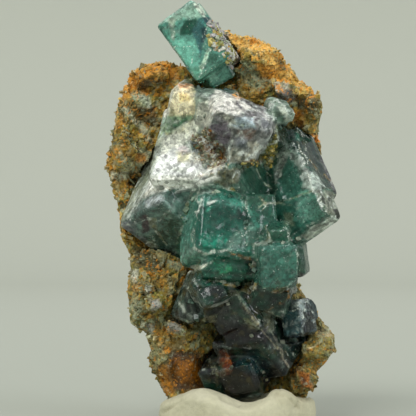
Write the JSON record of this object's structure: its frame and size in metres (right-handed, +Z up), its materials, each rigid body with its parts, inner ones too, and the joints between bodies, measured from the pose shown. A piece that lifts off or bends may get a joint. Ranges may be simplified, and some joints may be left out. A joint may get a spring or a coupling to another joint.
{
  "type": "phantom fluorite crystal specimen",
  "caption": "Etched green phantom fluorite cubes grown together on an iron-stained rock slab, standing in a lump of mounting putty with a flat underside.",
  "frame": {"origin": "middle of the putty's flat underside, on the surface that the specimen stands on", "axes": "+Z up along the tall side of the specimen, +Y away from the viewer of its crystal face, +X to that viewer's right"},
  "size_m": [0.0332, 0.027, 0.0594],
  "materials": {
    "iron_stained_rock": "rough, olive brown with rust crusts and grey quartz",
    "green_fluorite": "etched, see-through, deep teal with frosted and purple patches",
    "pale_fluorite": "etched, see-through, pale mint with a dark phantom",
    "dark_blue_fluorite": "etched, see-through, dark blue",
    "putty": "matte, cream, kneaded"
  },
  "bodies": {
    "root": {"rock_matrix": "iron_stained_rock", "fluorite_cluster": "green_fluorite", "fluorite_top_cube": "pale_fluorite", "fluorite_lower_right_cube": "dark_blue_fluorite", "mounting_putty": "putty"}
  },
  "joints": []
}
